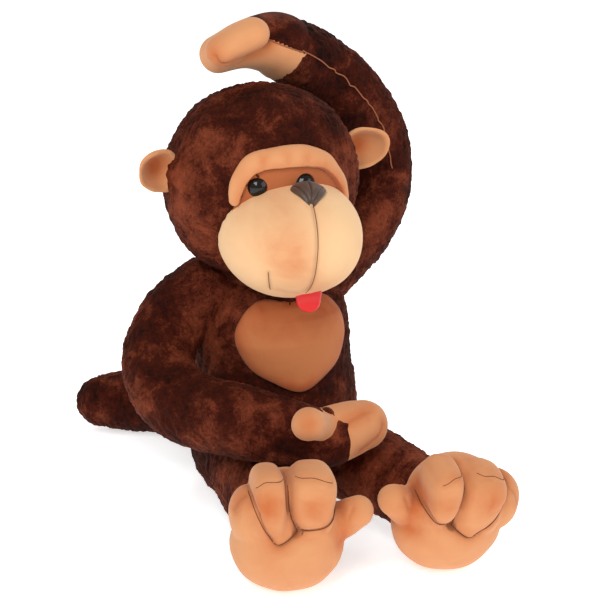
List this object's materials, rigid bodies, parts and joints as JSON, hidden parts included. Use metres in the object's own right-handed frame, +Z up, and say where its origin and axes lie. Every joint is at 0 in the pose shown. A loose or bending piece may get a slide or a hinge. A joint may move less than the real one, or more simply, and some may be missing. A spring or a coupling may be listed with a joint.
{
  "type": "stuffed monkey",
  "caption": "Sitting plush monkey with one arm bent over its head, a hand in its lap, large soft feet, cupped ears and a club-shaped tail.",
  "frame": {"origin": "centre of the flat seat, on the floor", "axes": "+Z up, the monkey faces -Y, its own left is +X"},
  "size_m": [0.3407, 0.5375, 0.5039],
  "materials": {
    "plush_brown": "short smooth brown plush pile",
    "velvet_tan": "tan velvet",
    "velvet_muzzle": "pale tan velvet",
    "nose_satin": "dark brown satin with stitches",
    "tongue_felt": "red felt",
    "eye_gloss": "glossy black plastic",
    "washer_plastic": "plain white plastic",
    "wadding": "white polyester fibre"
  },
  "bodies": {
    "torso": {"torso_cover": "plush_brown", "torso_filling": "wadding", "belly_patch": "velvet_tan"},
    "neck": {"neck_cover": "plush_brown", "neck_filling": "wadding"},
    "head": {"head_cover": "plush_brown", "head_filling": "wadding", "brow_patch": "velvet_tan", "muzzle_cover": "velvet_muzzle", "muzzle_filling": "wadding", "nose": "nose_satin", "tongue": "tongue_felt", "left_eye": "eye_gloss", "right_eye": "eye_gloss", "left_eye_washer": "washer_plastic", "right_eye_washer": "washer_plastic"},
    "left_ear": {"left_ear_back": "plush_brown", "left_ear_front": "velvet_tan"},
    "right_ear": {"right_ear_back": "plush_brown", "right_ear_front": "velvet_tan"},
    "left_upper_arm": {"left_upper_arm_cover": "plush_brown", "left_upper_arm_filling": "wadding"},
    "left_forearm": {"left_forearm_cover": "plush_brown", "left_forearm_filling": "wadding"},
    "left_hand": {"left_hand_cover": "velvet_tan", "left_hand_filling": "wadding", "left_thumb": "velvet_tan"},
    "right_upper_arm": {"right_upper_arm_cover": "plush_brown", "right_upper_arm_filling": "wadding"},
    "right_forearm": {"right_forearm_cover": "plush_brown", "right_forearm_filling": "wadding"},
    "right_hand": {"right_hand_cover": "velvet_tan", "right_hand_filling": "wadding", "right_thumb": "velvet_tan"},
    "left_leg": {"left_leg_cover": "plush_brown", "left_leg_filling": "wadding"},
    "left_foot": {"left_foot_cover": "velvet_tan", "left_foot_filling": "wadding"},
    "right_leg": {"right_leg_cover": "plush_brown", "right_leg_filling": "wadding"},
    "right_foot": {"right_foot_cover": "velvet_tan", "right_foot_filling": "wadding"},
    "tail": {"tail_cover": "plush_brown", "tail_filling": "wadding"}
  },
  "joints": [
    {"name": "neck_turn", "type": "hinge", "parent": "torso", "child": "neck", "pos_m": [-0.008, -0.005, 0.247], "axis": [0, 0, 1], "range_deg": [-20, 0]},
    {"name": "neck_nod", "type": "hinge", "parent": "neck", "child": "head", "pos_m": [-0.008, -0.005, 0.247], "axis": [1, 0, 0], "range_deg": [0, 10]},
    {"name": "left_ear_flap", "type": "hinge", "parent": "head", "child": "left_ear", "pos_m": [0.074, -0.036, 0.362], "axis": [0, 0, 1], "range_deg": [-20, 0], "stiffness_Nm_per_rad": 0.03},
    {"name": "right_ear_flap", "type": "hinge", "parent": "head", "child": "right_ear", "pos_m": [-0.114, -0.036, 0.362], "axis": [0, 0, 1], "range_deg": [0, 20], "stiffness_Nm_per_rad": 0.03},
    {"name": "left_shoulder", "type": "hinge", "parent": "torso", "child": "left_upper_arm", "pos_m": [0.066, 0.02, 0.229], "axis": [0, 1, 0], "range_deg": [0, 25]},
    {"name": "left_elbow", "type": "hinge", "parent": "left_upper_arm", "child": "left_forearm", "pos_m": [0.131, 0.05, 0.358], "axis": [0, 1, 0], "range_deg": [0, 25]},
    {"name": "left_wrist", "type": "hinge", "parent": "left_forearm", "child": "left_hand", "pos_m": [0.021, 0.031, 0.464], "axis": [0, 1, 0], "range_deg": [0, 22]},
    {"name": "right_shoulder", "type": "hinge", "parent": "torso", "child": "right_upper_arm", "pos_m": [-0.069, 0.011, 0.221], "axis": [1, 0, 0], "range_deg": [-20, 0]},
    {"name": "right_elbow", "type": "hinge", "parent": "right_upper_arm", "child": "right_forearm", "pos_m": [-0.121, -0.066, 0.131], "axis": [0, 1, 0], "range_deg": [-18, 0]},
    {"name": "right_wrist", "type": "hinge", "parent": "right_forearm", "child": "right_hand", "pos_m": [-0.013, -0.162, 0.117], "axis": [0, 1, 0], "range_deg": [-15, 0]},
    {"name": "left_hip", "type": "hinge", "parent": "torso", "child": "left_leg", "pos_m": [0.05, -0.058, 0.052], "axis": [0, 0, 1], "range_deg": [0, 18]},
    {"name": "left_ankle", "type": "hinge", "parent": "left_leg", "child": "left_foot", "pos_m": [0.086, -0.216, 0.056], "axis": [1, 0, 0], "range_deg": [-8, 8]},
    {"name": "right_hip", "type": "hinge", "parent": "torso", "child": "right_leg", "pos_m": [-0.05, -0.058, 0.052], "axis": [0, 0, 1], "range_deg": [-18, 0]},
    {"name": "right_ankle", "type": "hinge", "parent": "right_leg", "child": "right_foot", "pos_m": [-0.065, -0.202, 0.047], "axis": [1, 0, 0], "range_deg": [-8, 8]},
    {"name": "tail_base", "type": "hinge", "parent": "torso", "child": "tail", "pos_m": [0.005, 0.092, 0.044], "axis": [0, 0, 1], "range_deg": [-12, 4]}
  ]
}
